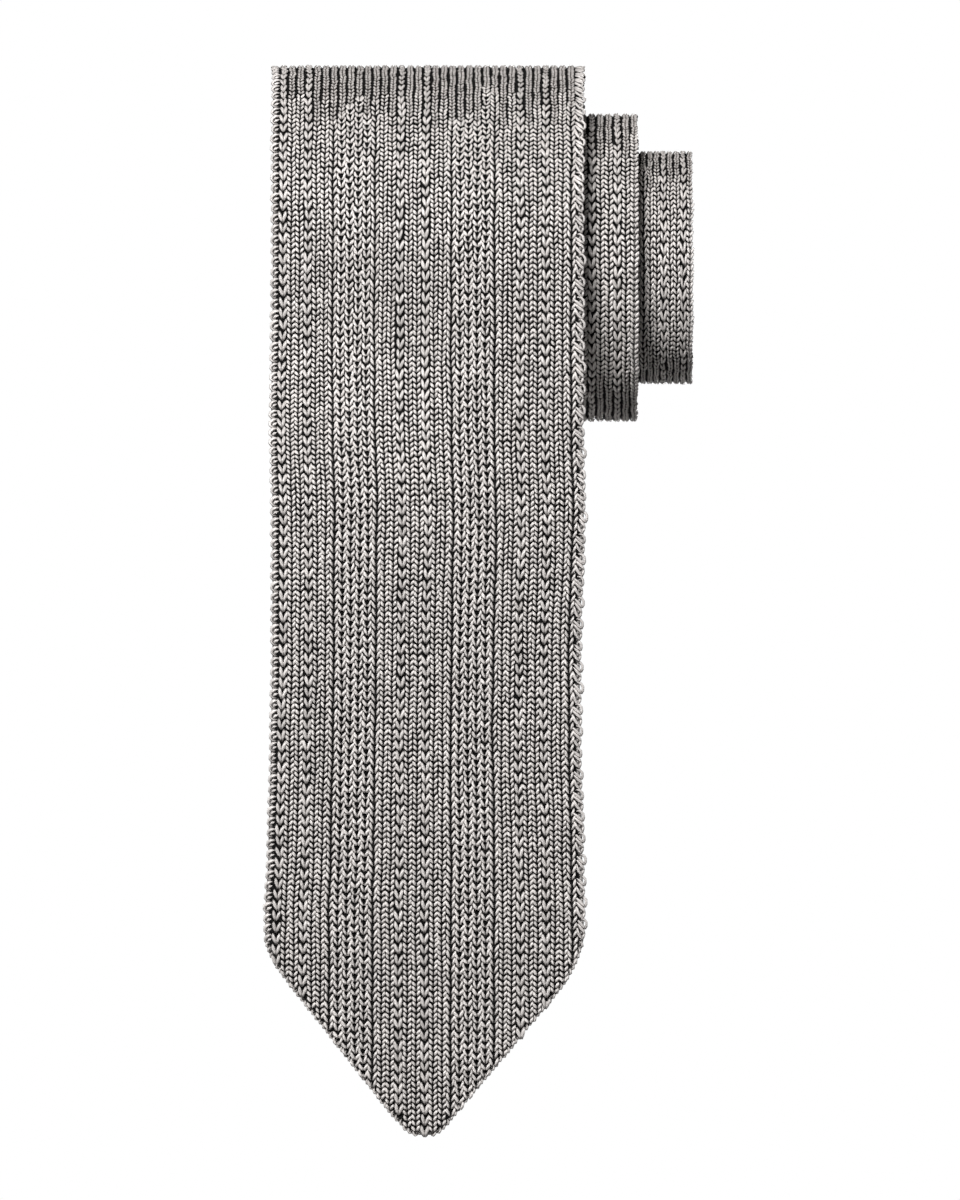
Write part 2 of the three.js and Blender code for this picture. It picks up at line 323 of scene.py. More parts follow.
# what each wale repeats: the repeat's length and the place of each shape in it, in courses
waleRepeats = {
    "p": {"repeat": 1, "stitches": [("plain", 0.5)]},
    "l": {"repeat": 2, "stitches": [("long", 1.0)]},
    "m": {"repeat": 4, "stitches": [("openVee", 0.6), ("openVee", 1.93), ("openVee", 3.27)]},
    "t": {"repeat": 4, "stitches": [("narrowVee", 0.40), ("ring", 1.83), ("wideVee", 2.8)]},
}


def legMesh(rows, sides, mirror):
    rows = np.array(rows, float)
    spots, radii = rows[:, :3].copy(), rows[:, 3]
    if mirror:
        spots[:, 0] *= -1
    way = unit(np.gradient(spots, axis=0))
    side = unit(np.cross(way, np.array([0, 0, 1.0])))
    top = np.cross(side, way)
    angles = 2 * math.pi * np.arange(sides) / sides
    ring = np.cos(angles)[:, None, None] * top + np.sin(angles)[:, None, None] * side
    points = (spots + ring * radii[:, None]).transpose(1, 0, 2)  # place along, place round
    count = len(rows)
    faces, uvs = [], []
    for i in range(count - 1):
        for k in range(sides):
            n = (k + 1) % sides
            faces.append([i * sides + k, i * sides + n, (i + 1) * sides + n, (i + 1) * sides + k])
            along = (i / (count - 1), (i + 1) / (count - 1))
            uvs += [(along[0], k / sides), (along[0], (k + 1) / sides),
                    (along[1], (k + 1) / sides), (along[1], k / sides)]
    for at, order in ((0, range(sides - 1, -1, -1)), (count - 1, range(sides))):
        faces.append([at * sides + k for k in order])
        uvs += [(at / (count - 1), k / sides) for k in order]
    return points.reshape(-1, 3), faces, uvs, np.repeat(rows[:, 4], sides)


# the back stitches have fewer sides, and their painted shade is kept light
backLook = {"sides": 3, "leastPaintedLight": 0.6}  # lighter stitches where nobody looks closely


def stitchCollection(name, lighter):
    holder = bpy.data.collections.new(name)
    for number, shape in enumerate(shapeNames):
        look = stitchShapes[shape]
        sides = backLook["sides"] if lighter else look["sides"]
        verts, faces, uvs, paintedLights = [], [], [], []
        for rows in look["legs"]:
            kept = [rows[0], rows[len(rows) // 2], rows[-1]] if lighter else rows
            for mirror in ((False,) if look.get("single") else (False, True)):
                spots, polys, corners, bare = legMesh(kept, sides, mirror)
                faces += [[v + len(verts) for v in poly] for poly in polys]
                verts += list(spots * mm)
                uvs += corners
                paintedLights += list(np.maximum(bare, backLook["leastPaintedLight"]) if lighter else bare)
        mesh = bpy.data.meshes.new(f"{name}{number:02d}")
        mesh.from_pydata([tuple(v) for v in verts], [], faces)
        layer = mesh.uv_layers.new(name="yarn")
        layer.data.foreach_set("uv", np.array(uvs, float).ravel())
        # the last column goes on as the attribute open: how light the yarn is painted, with painted
        # shade where it lies in the cloth
        layer = mesh.attributes.new("open", "FLOAT", "POINT")
        layer.data.foreach_set("value", np.array(paintedLights, float))
        mesh.shade_smooth()
        mesh.update()
        holder.objects.link(bpy.data.objects.new(f"{name}{number:02d}", mesh))
    return holder


fineShapes = stitchCollection("stitch", False)
plainShapes = stitchCollection("backStitch", True)
print("stitch shapes", len(shapeNames))


def lineOf(turns, xs, spots, out):  # count says how many courses lie before each place
    steps = np.linalg.norm(np.diff(spots, axis=0), axis=1)
    middle = (turns[1:] + turns[:-1]) / 2
    count = np.concatenate([[0], np.cumsum(steps / courseAt(middle))])
    way = unit(np.gradient(spots, axis=0))
    return {"turn": turns, "x": xs, "spot": spots, "way": way, "out": out, "count": count}


def path(place, side, level, turns, xs):
    spots = place(turns, xs, np.full_like(turns, level))
    return lineOf(turns, xs, spots, clothOut(turns, xs) * side)


def everyCourse(line):
    return np.arange(0.5, line["count"][-1], 1.0)


def pick(line, at):
    got = {"turn": np.interp(at, line["count"], line["turn"]),
           "x": np.interp(at, line["count"], line["x"])}
    for name in ("spot", "way", "out"):
        got[name] = np.stack([np.interp(at, line["count"], line[name][:, k]) for k in range(3)], 1)
    got["way"] = unit(got["way"])
    got["across"] = unit(np.cross(got["way"], got["out"]))
    got["out"] = np.cross(got["across"], got["way"])
    return got


def quaternions(across, way, out):
    m = np.stack([across, way, out], axis=2)
    w = np.sqrt(np.maximum(0, 1 + m[:, 0, 0] + m[:, 1, 1] + m[:, 2, 2])) / 2
    x = np.sqrt(np.maximum(0, 1 + m[:, 0, 0] - m[:, 1, 1] - m[:, 2, 2])) / 2
    y = np.sqrt(np.maximum(0, 1 - m[:, 0, 0] + m[:, 1, 1] - m[:, 2, 2])) / 2
    z = np.sqrt(np.maximum(0, 1 - m[:, 0, 0] - m[:, 1, 1] + m[:, 2, 2])) / 2
    x = np.copysign(x, m[:, 2, 1] - m[:, 1, 2])
    y = np.copysign(y, m[:, 0, 2] - m[:, 2, 0])
    z = np.copysign(z, m[:, 1, 0] - m[:, 0, 1])
    return unit(np.stack([w, x, y, z], axis=1))


# how far the wales have drawn in, from 0 to 1, when their stitches change to those of a rib
ribLook = {"begin": 0.40, "switch": 0.7, "frontSwitch": 0.68, "scatter": 0.2, "overlap": 0.04,
           "narrower": 0.11, "never": 2.0}


def ribbed(turn):  # the wales draw in to ribs over the top and bottom of each turn
    return eased(ribLook["begin"], 1.0, np.abs(np.sin(turn * math.pi / 2))) * (turn > 0)


strayBy = (0.05, 0.04, 0.03)  # of a stitch across, along and out of the cloth


class Stitches:  # the places of a run of stitches
    def __init__(self):
        self.spot, self.quat, self.size, self.kind = [], [], [], []

    def add(self, line, at, shape, keep, width, ribFrom=ribLook["switch"]):
        got = pick(line, at)
        kept = keep(got["turn"], got["x"])
        if not kept.any():
            return
        across, way, out = (got[n][kept] for n in ("across", "way", "out"))
        turn = got["turn"][kept]
        spots = got["spot"][kept]
        for direction, stray in zip((across, way, out), strayBy):
            spots = spots + direction * dice.normal(0, stray, (len(spots), 1))
        self.spot.append(spots)
        self.quat.append(quaternions(across, way, out))
        wide = width(turn) if callable(width) else np.full(len(spots), width)
        self.size.append(np.stack([wide, courseAt(turn) / course, np.ones(len(spots))], axis=1))
        kind = np.full(len(spots), shapeNames.index(shape))
        if shape + "Rib" in shapeNames:
            kind[ribbed(turn) > ribFrom] = shapeNames.index(shape + "Rib")
        self.kind.append(kind)

    def count(self):
        return sum(len(k) for k in self.kind)


def knitTree():
    tree = bpy.data.node_groups.new("knit stitches", "GeometryNodeTree")
    for label, kind in (("Stitch places", "NodeSocketGeometry"),
                        ("Stitch shapes", "NodeSocketCollection"),
                        ("Yarn", "NodeSocketMaterial"), ("Unevenness", "NodeSocketFloat"),
                        ("Tilt", "NodeSocketFloat"), ("Seed", "NodeSocketInt")):
        tree.interface.new_socket(label, in_out="INPUT", socket_type=kind)
    tree.interface.new_socket("Knit", in_out="OUTPUT", socket_type="NodeSocketGeometry")
    link = tree.links.new

    def add(kind, spot, **settings):
        node = tree.nodes.new(kind)
        node.location = spot
        for name, value in settings.items():
            setattr(node, name, value)
        return node

    def port(sockets, name):  # some nodes have several by one name, and one of them in use
        return next(s for s in sockets if s.enabled and s.name == name)

    given = add("NodeGroupInput", (-900, 0))

    def named(label, kind, spot):
        node = add("GeometryNodeInputNamedAttribute", spot, data_type=kind)
        node.inputs["Name"].default_value = label
        return port(node.outputs, "Attribute")

    def maths(operation, number, numberSlot, label, spot):
        node = add("ShaderNodeMath", spot, operation=operation)
        node.inputs[numberSlot].default_value = number
        link(given.outputs[label], node.inputs[1 - numberSlot])
        return node.outputs[0]

    def anyValue(kind, spot, low=None, high=None):  # another one for each stitch
        node = add("FunctionNodeRandomValue", spot, data_type=kind)
        for label, value in (("Min", low), ("Max", high), ("Seed", given.outputs["Seed"])):
            if value is not None:
                link(value, port(node.inputs, label))
        return port(node.outputs, "Value")

    shapes = add("GeometryNodeCollectionInfo", (-650, 200))
    shapes.inputs["Separate Children"].default_value = True
    shapes.inputs["Reset Children"].default_value = True
    link(given.outputs["Stitch shapes"], shapes.inputs["Collection"])
    thinner = maths("SUBTRACT", 1.0, 0, "Unevenness", (-800, -700))
    thicker = maths("ADD", 1.0, 0, "Unevenness", (-800, -860))
    scale = add("ShaderNodeVectorMath", (-450, -300), operation="SCALE")
    link(named("size", "FLOAT_VECTOR", (-900, -410)), scale.inputs[0])
    link(anyValue("FLOAT", (-650, -450), thinner, thicker), scale.inputs["Scale"])
    place = add("GeometryNodeInstanceOnPoints", (-250, 0))
    place.inputs["Pick Instance"].default_value = True
    link(given.outputs["Stitch places"], place.inputs["Points"])
    link(shapes.outputs[0], place.inputs["Instance"])
    link(named("kind", "INT", (-900, -570)), place.inputs["Instance Index"])
    link(named("facing", "QUATERNION", (-900, -250)), place.inputs["Rotation"])
    link(scale.outputs["Vector"], place.inputs["Scale"])
    otherWay = maths("MULTIPLY", -1.0, 1, "Tilt", (-620, -640))
    lean = add("GeometryNodeRotateInstances", (-50, 0))  # each stitch leans its own way
    lean.inputs["Local Space"].default_value = True
    link(place.outputs[0], lean.inputs["Instances"])
    link(anyValue("FLOAT_VECTOR", (-450, -520), otherWay, given.outputs["Tilt"]),
         lean.inputs["Rotation"])
    keep = add("GeometryNodeStoreNamedAttribute", (150, 0), data_type="FLOAT", domain="INSTANCE")
    keep.inputs["Name"].default_value = "tone"
    link(lean.outputs[0], keep.inputs["Geometry"])
    link(anyValue("FLOAT", (-50, -300)), port(keep.inputs, "Value"))
    real = add("GeometryNodeRealizeInstances", (350, 0))
    link(keep.outputs[0], real.inputs[0])
    dress = add("GeometryNodeSetMaterial", (550, 0))
    link(real.outputs[0], dress.inputs["Geometry"])
    link(given.outputs["Yarn"], dress.inputs["Material"])
    made = add("NodeGroupOutput", (750, 0))
    link(dress.outputs[0], made.inputs["Knit"])
    return tree


knit = knitTree()
knitSockets = {item.name: item.identifier for item in knit.interface.items_tree
               if item.in_out == "INPUT"}
knitLook = {"uneven": 0.06, "edgeUneven": 0.08, "tilt": 0.13}


def knitPiece(name, stitches, shapes, seed, uneven=knitLook["uneven"]):
    spots = np.concatenate(stitches.spot) * mm
    places = bpy.data.meshes.new(name)
    places.from_pydata([tuple(p) for p in spots], [], [])
    for label, kind, port, values in (
            ("facing", "QUATERNION", "value", np.concatenate(stitches.quat)),
            ("size", "FLOAT_VECTOR", "vector", np.concatenate(stitches.size)),
            ("kind", "INT", "value", np.concatenate(stitches.kind))):
        layer = places.attributes.new(label, kind, "POINT")
        layer.data.foreach_set(port, np.ascontiguousarray(values).ravel())
    piece = bpy.data.objects.new(name, places)
    scene.collection.objects.link(piece)
    knitting = piece.modifiers.new("knit", "NODES")
    knitting.node_group = knit
    knitting[knitSockets["Stitch shapes"]] = shapes
    knitting[knitSockets["Yarn"]] = yarn
    knitting[knitSockets["Unevenness"]] = uneven
    knitting[knitSockets["Tilt"]] = knitLook["tilt"]
    knitting[knitSockets["Seed"]] = seed
    graph = bpy.context.evaluated_depsgraph_get()
    mesh = bpy.data.meshes.new_from_object(piece.evaluated_get(graph), depsgraph=graph)
    piece.modifiers.remove(knitting)
    piece.data = mesh
    mesh.name = name
    bpy.data.meshes.remove(places)
    for label in ("facing", "size", "kind"):
        if label in mesh.attributes:
            mesh.attributes.remove(mesh.attributes[label])
    mesh.calc_loop_triangles()
    print(name, "stitches", stitches.count(), "triangles", len(mesh.loop_triangles))
    return piece


# materials
def shade(tint, share):
    return (*[min(c * share, 1) for c in tint], 1)


class Paint:  # a material whose nodes are made and joined in one call each
    def __init__(self, name, roughness):
        self.material = bpy.data.materials.new(name)
        self.material.use_nodes = True
        self.tree = self.material.node_tree
        self.surface = self.tree.nodes["Principled BSDF"].inputs
        self.surface["Roughness"].default_value = roughness

    def put(self, value, socket):
        if isinstance(value, bpy.types.NodeSocket):
            self.tree.links.new(value, socket)
        else:
            socket.default_value = value

    def node(self, kind, given, **settings):
        made = self.tree.nodes.new(kind)
        for name, value in settings.items():
            setattr(made, name, value)
        for name, value in given.items():
            self.put(value, made.inputs[name])
        return made.outputs

    def attribute(self, name):
        return self.node("ShaderNodeAttribute", {}, attribute_name=name)["Fac"]

    def maths(self, operation, *values):
        return self.node("ShaderNodeMath", dict(enumerate(values)), operation=operation)[0]

    def noise(self, scale, detail):
        where = self.node("ShaderNodeTexCoord", {})["Object"]
        sockets = {"Vector": where, "Scale": scale, "Detail": detail}
        return self.node("ShaderNodeTexNoise", sockets)["Fac"]

    def mixNumbers(self, share, a, b):
        return self.node("ShaderNodeMix", {"Factor": share, 2: a, 3: b}, data_type="FLOAT")[0]

    def mixColours(self, share, a, b):
        return self.node("ShaderNodeMix", {"Factor": share, 6: a, 7: b}, data_type="RGBA")[2]

    def ramp(self, value, low, high, highAt):
        made = self.tree.nodes.new("ShaderNodeValToRGB")
        made.color_ramp.elements[0].color = low
        made.color_ramp.elements[1].color = high
        made.color_ramp.elements[1].position = highAt
        self.put(value, made.inputs["Fac"])
        return made.outputs["Color"]

    def rising(self, value, low, high, dark):  # from dark at low to full at high
        sockets = {"Value": value, "From Min": low, "From Max": high, "To Min": dark}
        return self.node("ShaderNodeMapRange", sockets, interpolation_type="SMOOTHSTEP")["Result"]

    def bump(self, height, strength, distance):
        sockets = {"Strength": strength, "Distance": distance, "Height": height}
        self.put(self.node("ShaderNodeBump", sockets)["Normal"], self.surface["Normal"])


silver = (0.74, 0.70, 0.675)
# gap is the colour painted into the crevices as shade, and the last three ranges set where that
# painted shade goes
silk = {"roughness": 0.38, "sheen": 0.04, "sheenRoughness": 0.4, "gloss": 0.8,
        "darkest": 0.76, "lightest": 1.12, "gap": (0.022, 0.014, 0.010, 1),
        "patches": (26.0, 3.0), "patchShare": 0.35,
        "twist": 0.55, "filaments": (2600.0, 2.0), "filamentRelief": 0.8,
        "relief": 0.45, "reliefDepth": 0.00012,
        "paintedPlyShade": (-1.0, -0.3, 0.8), "paintedSideShade": (0.62, 1.5, 0.05), "paintedShadeBuried": (0.0, 1.0, 0.03)}


def silkYarn(name):
    paint = Paint(name, silk["roughness"])
    paint.put(silk["sheen"], paint.surface["Sheen Weight"])
    paint.put(silk["sheenRoughness"], paint.surface["Sheen Roughness"])
    # each stitch has its tone, and the cloth changes slowly from place to place
    patches = paint.noise(*silk["patches"])
    tone = paint.mixNumbers(silk["patchShare"], paint.attribute("tone"), patches)
    colour = paint.ramp(tone, shade(silver, silk["darkest"]), shade(silver, silk["lightest"]), 1.0)
    # two plies twisted together, and the fine filaments in them
    yarnMap = paint.node("ShaderNodeUVMap", {}, uv_map="yarn")["UV"]
    apart = paint.node("ShaderNodeSeparateXYZ", {0: yarnMap})
    along = paint.maths("MULTIPLY_ADD", apart["X"], silk["twist"], apart["Y"])
    plies = paint.maths("COSINE", paint.maths("MULTIPLY", along, 4 * math.pi))
    filaments = paint.noise(*silk["filaments"])
    relief = paint.maths("MULTIPLY_ADD", filaments, silk["filamentRelief"], plies)
    paint.bump(relief, silk["relief"], silk["reliefDepth"])
    # painted shade: the yarn is darkened between its plies, at the sides and under each leg (upward
    # is 1 on top of a leg, 0 at its sides and -1 under it), and where it lies deep in the cloth;
    # lit is how much of the yarn's colour is left over the painted gap colour
    upward = paint.maths("COSINE", paint.maths("MULTIPLY", apart["Y"], 2 * math.pi))
    paintedLightShare = paint.attribute("open")
    paintedPlyShade = paint.rising(plies, *silk["paintedPlyShade"])
    paintedSideShade = paint.rising(paint.maths("ADD", upward, paintedLightShare), *silk["paintedSideShade"])
    lit = paint.maths("MULTIPLY", paintedPlyShade, paintedSideShade)
    lit = paint.maths("MULTIPLY", lit, paint.rising(paintedLightShare, *silk["paintedShadeBuried"]))
    paint.put(paint.mixColours(lit, silk["gap"], colour), paint.surface["Base Color"])
    # the gloss is taken away with the painted shade, so the shaded crevices carry no highlight
    gloss = paint.maths("MULTIPLY", lit, silk["gloss"])  # none in the gaps
    paint.put(gloss, paint.surface["Specular IOR Level"])
    return paint.material


# the near-black of the ground is painted shade: in the knit's valleys and on the cloth under the
# stitches
base = {"roughness": 0.8, "gloss": 0.2, "paintedShadeBlack": 0.004, "slant": -1.3, "lightAt": 0.75,
        "relief": 0.8, "reliefDepth": 0.0005}


def groundKnit(name):
    paint = Paint(name, base["roughness"])
    paint.put(base["gloss"], paint.surface["Specular IOR Level"])
    inWale = paint.maths("FRACT", paint.attribute("wale"))
    aside = paint.maths("ABSOLUTE", paint.maths("SUBTRACT", inWale, 0.5))
    rib = paint.maths("SINE", paint.maths("MULTIPLY", aside, 2 * math.pi))
    slant = paint.maths("MULTIPLY", aside, base["slant"])
    climb = paint.maths("ADD", paint.attribute("course"), slant)
    leg = paint.maths("ABSOLUTE", paint.maths("SINE", paint.maths("MULTIPLY", climb, math.pi)))
    height = paint.maths("MULTIPLY", leg, rib)
    # the knit pattern is the cloth's own, its valleys painted near black as shade, and the cloth is
    # painted near black as shade where stitches lie on it
    paintedShadeBlack = shade(silver, base["paintedShadeBlack"])
    colour = paint.ramp(height, paintedShadeBlack, shade(silver, 1.0), base["lightAt"])
    colour = paint.mixColours(paint.attribute("bare"), paintedShadeBlack, colour)
    paint.put(colour, paint.surface["Base Color"])
    paint.bump(height, base["relief"], base["reliefDepth"])
    return paint.material


yarn = silkYarn("silver silk yarn")
ground = groundKnit("silver knit ground")
print("materials", yarn.name, "and", ground.name)

# the cloth under the stitches, painted near black as shade where they cover it
cloth = {"outer": 1.0, "inner": 0.25, "inset": 0.45, "insetShare": 0.2, "rimShare": 0.4,
         "slit": 0.25, "slitShare": 0.05, "flapPlaces": 8, "frontPlaces": 15, "rimPlaces": 3,
         "tipStart": 0.4, "tipReach": 9.6, "tipRows": 9, "tipCrowding": 1.5, "hangStart": 12.0,
         "hangStep": 2.5, "turnRows": 150, "foldRows": 12, "seamRows": 4, "seamGap": 0.008}


def clothStations(isTail):
    edges, place = (tailEdges, tailPlace) if isTail else (wideEdges, widePlace)
    rise = tail["rise"] if isTail else 0.0
    nearTip = cloth["tipReach"] * np.linspace(0, 1, cloth["tipRows"]) ** cloth["tipCrowding"]
    hanging = np.arange(rise + cloth["hangStart"], roll["drop"], cloth["hangStep"])
    stations = []

    def addStation(turn, where, thin=1.0, hollow=True, cut=cloth["inset"]):
        left, right = (float(v) for v in edges(turn))
        stations.append({"turn": turn, "left": left + cut, "right": right - cut, "thin": thin,
                         "hollow": hollow, "place": where})

    for height in np.concatenate([rise + cloth["tipStart"] + nearTip, hanging]):
        turn = height / roll["drop"] - 1
        left, right = edges(turn)
        cut = min(cloth["inset"], float(right - left) * cloth["insetShare"])
        thin = math.sqrt(1 - (1 - min((height - rise) / halfThickness, 1)) ** 2)
        hollow = height - rise >= blade["hem"]
        addStation(turn, lambda x, o, t=turn: place(t, x, o), thin, hollow, cut)
    foldTurn = roll["foldTurn"]
    seamTurn = foldTurn - roll["seamPastFold"]
    last = seamTurn - cloth["seamGap"] if isTail else foldTurn
    for turn in np.linspace(0, last, cloth["turnRows"]):
        addStation(turn, lambda x, o, t=turn: place(t, x, o))
    if not isTail:
        for turned in np.linspace(0, math.pi, cloth["foldRows"] + 1)[1:]:
            addStation(foldTurn, lambda x, o, a=turned: foldPlace(a, x, o))
        for turn in np.linspace(foldTurn, seamTurn, cloth["seamRows"] + 1)[1:]:
            addStation(turn, lambda x, o, t=turn: tailPlace(t, x, o))
    return stations


def sectionLoop(station, half):
    left, right = station["left"], station["right"]
    inset = min(cloth["outer"], (right - left) * cloth["rimShare"])
    middle = (left + right) / 2
    slit = min(cloth["slit"], (right - left) * cloth["slitShare"])
    rounding = inset * half / cloth["outer"]
    flap = np.linspace(0, 1, cloth["flapPlaces"])
    front = np.linspace(0, 1, cloth["frontPlaces"])
    rim = np.linspace(0, math.pi, cloth["rimPlaces"] + 2)[1:-1]
    xs = np.concatenate([
        mixed(middle + slit, right - inset, flap), right - inset + rounding * np.sin(rim),
        mixed(right - inset, left + inset, front), left + inset - rounding * np.sin(rim),
        mixed(left + inset, middle - slit, flap)])
    outs = np.concatenate([np.full_like(flap, -half), -half * np.cos(rim),
                           np.full_like(front, half), half * np.cos(rim),
                           np.full_like(flap, -half)])
    return xs, outs * station["thin"]


def clothTube(name, isTail, bareAt):
    verts, faces, wales, courses, bares, rows = [], [], [], [], [], []
    run, before = 0.0, None
    for station in clothStations(isTail):
        middle = np.array([(station["left"] + station["right"]) / 2])
        centre = station["place"](middle, np.array([0.0]))[0]
        run += 0 if before is None else np.linalg.norm(centre - before) / course
        before = centre
        row = {"outer": None, "inner": None}
        for key in (("outer", "inner") if station["hollow"] else ("outer",)):
            xs, outs = sectionLoop(station, cloth[key])
            row[key] = list(range(len(verts), len(verts) + len(xs)))
            verts += list(station["place"](xs, outs))
            wales += list((station["right"] - xs) / walePitch(station["turn"]))
            courses += [run] * len(xs)
            bares += list(bareAt(station["turn"], xs, outs) if key == "outer" else np.ones(len(xs)))
        row["middle"] = len(verts)
        verts.append(centre)
        wales.append(0.5)
        courses.append(run)
        bares.append(1.0)
        rows.append(row)
    last = len(rows[0]["outer"]) - 1
    for before, row in zip(rows, rows[1:]):
        a, b, c, d = before["outer"], row["outer"], before["inner"], row["inner"]
        faces += [[a[k], a[k + 1], b[k + 1], b[k]] for k in range(last)]
        if c:
            faces += [[c[k + 1], c[k], d[k], d[k + 1]] for k in range(last)]
            faces.append([a[last], c[last], d[last], b[last]])
            faces.append([c[0], a[0], b[0], d[0]])
        else:
            faces.append([a[last], a[0], b[0], b[last]])
        if d and not c:  # the hollow begins here
            faces += [[d[(k + 1) % (last + 1)], d[k], row["middle"]] for k in range(last + 1)]
            faces.append([b[0], d[0], d[last], b[last]])
    tip, centre = rows[0]["outer"], rows[0]["middle"]
    faces += [[centre, tip[(k + 1) % (last + 1)], tip[k]] for k in range(last + 1)]
    a, b = rows[-1]["outer"], rows[-1]["inner"]
    faces += [[a[k], a[k + 1], b[k + 1], b[k]] for k in range(last)]
    used = np.zeros(len(verts), bool)
    used[[v for f in faces for v in f]] = True
    renumber = np.cumsum(used) - 1
    verts = np.array(verts)[used] * mm
    faces = [[int(renumber[v]) for v in f] for f in faces]
    if not isTail:
        faces = [f[::-1] for f in faces]
    mesh = bpy.data.meshes.new(name)
    mesh.from_pydata([tuple(v) for v in verts], [], faces)
    for label, values in (("wale", wales), ("course", courses), ("bare", bares)):
        layer = mesh.attributes.new(label, "FLOAT", "POINT")
        layer.data.foreach_set("value", np.array(values, float)[used])
    mesh.shade_smooth()
    piece = bpy.data.objects.new(name, mesh)
    piece.data.materials.append(ground)
    scene.collection.objects.link(piece)
    volume = sum(np.dot(verts[f[0]], np.cross(verts[f[i]], verts[f[i + 1]]))
                 for f in faces for i in range(1, len(f) - 1)) / 6
    print(name, "volume", round(volume * 1e9), "mm3")
    return piece


# the parts of the inner turns beside the blade: from and to in quarter turns, and the least x
beside = {"second": (2.6, 5.4, 33), "back": (5.4, 6.6, 34), "third": (6.6, roll["foldTurn"], 47)}
# where the cloth shows, and where it is painted near black as the shade under the stitches
bare = {"onFace": 0.9, "rim": 1.6, "bladeTo": 3.3, "thirdTo": 9.14, "backTo": 0.2,
        "tailHides": 20, "tailFrom": 5.0, "tailTo": 9.0}


def standsOut(name, turn, x):
    start, end, least = beside[name]
    return (turn > start) & (turn < end) & (x > least)


# where this is 0 the cloth is painted near black as shade
def wideBare(turn, xs, outs):  # 0 where stitches lie on the cloth, 1 where it shows
    left, right = wideEdges(turn)
    inner = standsOut("second", turn, xs) | standsOut("back", turn, xs)
    inner = inner | (standsOut("third", turn, xs) & (turn < bare["thirdTo"]))
    covered = inner | (turn < bare["bladeTo"]) | (turn == roll["foldTurn"])
    front = (outs > bare["onFace"]) & covered
    within = (xs > left + bare["rim"]) & (xs < right - bare["rim"])
    back = within & (outs < -bare["onFace"]) & (turn < bare["backTo"])
    return np.where(front | (back & (np.abs(xs) > bare["tailHides"])), 0.0, 1.0)


def tailBare(turn, xs, outs):
    left, right = tailEdges(turn)
    within = (xs > left + bare["rim"]) & (xs < right - bare["rim"])
    along = ((turn < bare["backTo"]) | (turn > bare["tailFrom"])) & (turn < bare["tailTo"])
    return np.where(within & (outs > bare["onFace"]) & along, 0.0, 1.0)


wideCloth = clothTube("blade_cloth", False, wideBare)
tailCloth = clothTube("tail_cloth", True, tailBare)

# the stitches of the wide half's face
stitchLevel = 1.12
fineTurns = np.linspace(-1, roll["foldTurn"], 5200)
loopsFrom = -0.775  # the edges have loops from the top of the point
loopsTo = 2.6  # to where the second turn comes into view
backFrom = 1.25  # the first turn's back has the lighter stitches
backTo = 3.35
room = {"point": 0.9, "blade": 0.95, "inner": 0.3, "foldLeft": 0.4}  # the first in mm, else wales
drawnPitch = 2.12  # the pitch for which the stitch shapes were drawn
waleDrift = np.random.default_rng(5).uniform(0, 2 * math.pi, (waleCount, 4))
# hand-knit unevenness: lengths of its waves, and their sizes
acrossDrift = {"lengths": (0.31, 0.13), "sizes": (0.07, 0.06)}
alongDrift = {"lengths": (61.0, 17.0, 7.3), "closed": (0.16, 0.10, 0.05),
              "open": (0.05, 0.04, 0.03)}


def wander(values, wale, lengths, sizes):
    waves = waleDrift[wale]
    return sum(size * np.sin(2 * math.pi * values / length + waves[k])
               for k, (length, size) in enumerate(zip(lengths, sizes)))


def drawnIn(turn):
    return walePitch(turn) / drawnPitch * (1 - ribLook["narrower"] * ribbed(turn))


def frontWales(stitches, kinds, keep):
    for wale, kind in enumerate(waleKinds):
        if kind not in kinds:
            continue
        drift = wander(fineTurns, wale, acrossDrift["lengths"], acrossDrift["sizes"])
        line = path(widePlace, 1, stitchLevel, fineTurns, waleAt(fineTurns, wale) + drift)
        repeat = waleRepeats[kind]["repeat"]
        stagger = 2.0 if kind == "t" and wale % 2 else 0.0
        ribStart = ribLook["frontSwitch"] + ribLook["scatter"] * math.sin(waleDrift[wale][3])
        isOpen = kind in "mt"
        strays = alongDrift["open" if isOpen else "closed"]

        def flat(turn, x):
            return keep(turn, x) & ~(isOpen & (ribbed(turn) > ribStart + ribLook["overlap"]))

        def ribs(turn, x):
            return keep(turn, x) & (ribbed(turn) > ribStart)

        for shape, start in waleRepeats[kind]["stitches"]:
            at = np.arange(start + stagger - repeat, line["count"][-1], repeat)
            at = at[at > 0]
            at = at + wander(at, wale, alongDrift["lengths"], strays)
            stitches.add(line, at, shape, flat, drawnIn, ribStart)
        if isOpen:  # the open wales are plain where they draw in
            at = everyCourse(line)
            at = at + wander(at, wale, alongDrift["lengths"], strays)
            stitches.add(line, at, "plainRib", ribs, drawnIn)


def onBlade(low, high):
    def keep(turn, x):
        left, right = wideEdges(turn)
        gap = np.where(turn < loopsFrom, room["point"], room["blade"] * walePitch(turn))
        return (turn >= low) & (turn < high) & (x > left + gap) & (x < right - gap)
    return keep


frontGroups = [
    ("blade_plain_wales", "p", -1, -0.42), ("blade_plain_wales_upper", "p", -0.42, backFrom),
    ("blade_long_wales", "l", -1, backFrom), ("blade_open_wales", "mt", -1, backFrom)]
frontPieces = []
for seed, (name, kinds, low, high) in enumerate(frontGroups, 20):
    stitches = Stitches()
    frontWales(stitches, kinds, onBlade(low, high))
    frontPieces.append(knitPiece(name, stitches, fineShapes, seed))


def edgeRoom(turn):  # the inner turns end in a plain wale, the blade in loops
    return np.where(turn < loopsTo, room["blade"], room["inner"]) * walePitch(turn)


def turnsRight(turn, x):
    shown = standsOut("second", turn, x) | standsOut("third", turn, x)
    return shown & (x < wideEdges(turn)[1] - edgeRoom(turn))


stitches = Stitches()
frontWales(stitches, "plmt", turnsRight)
foldPlaces = 60


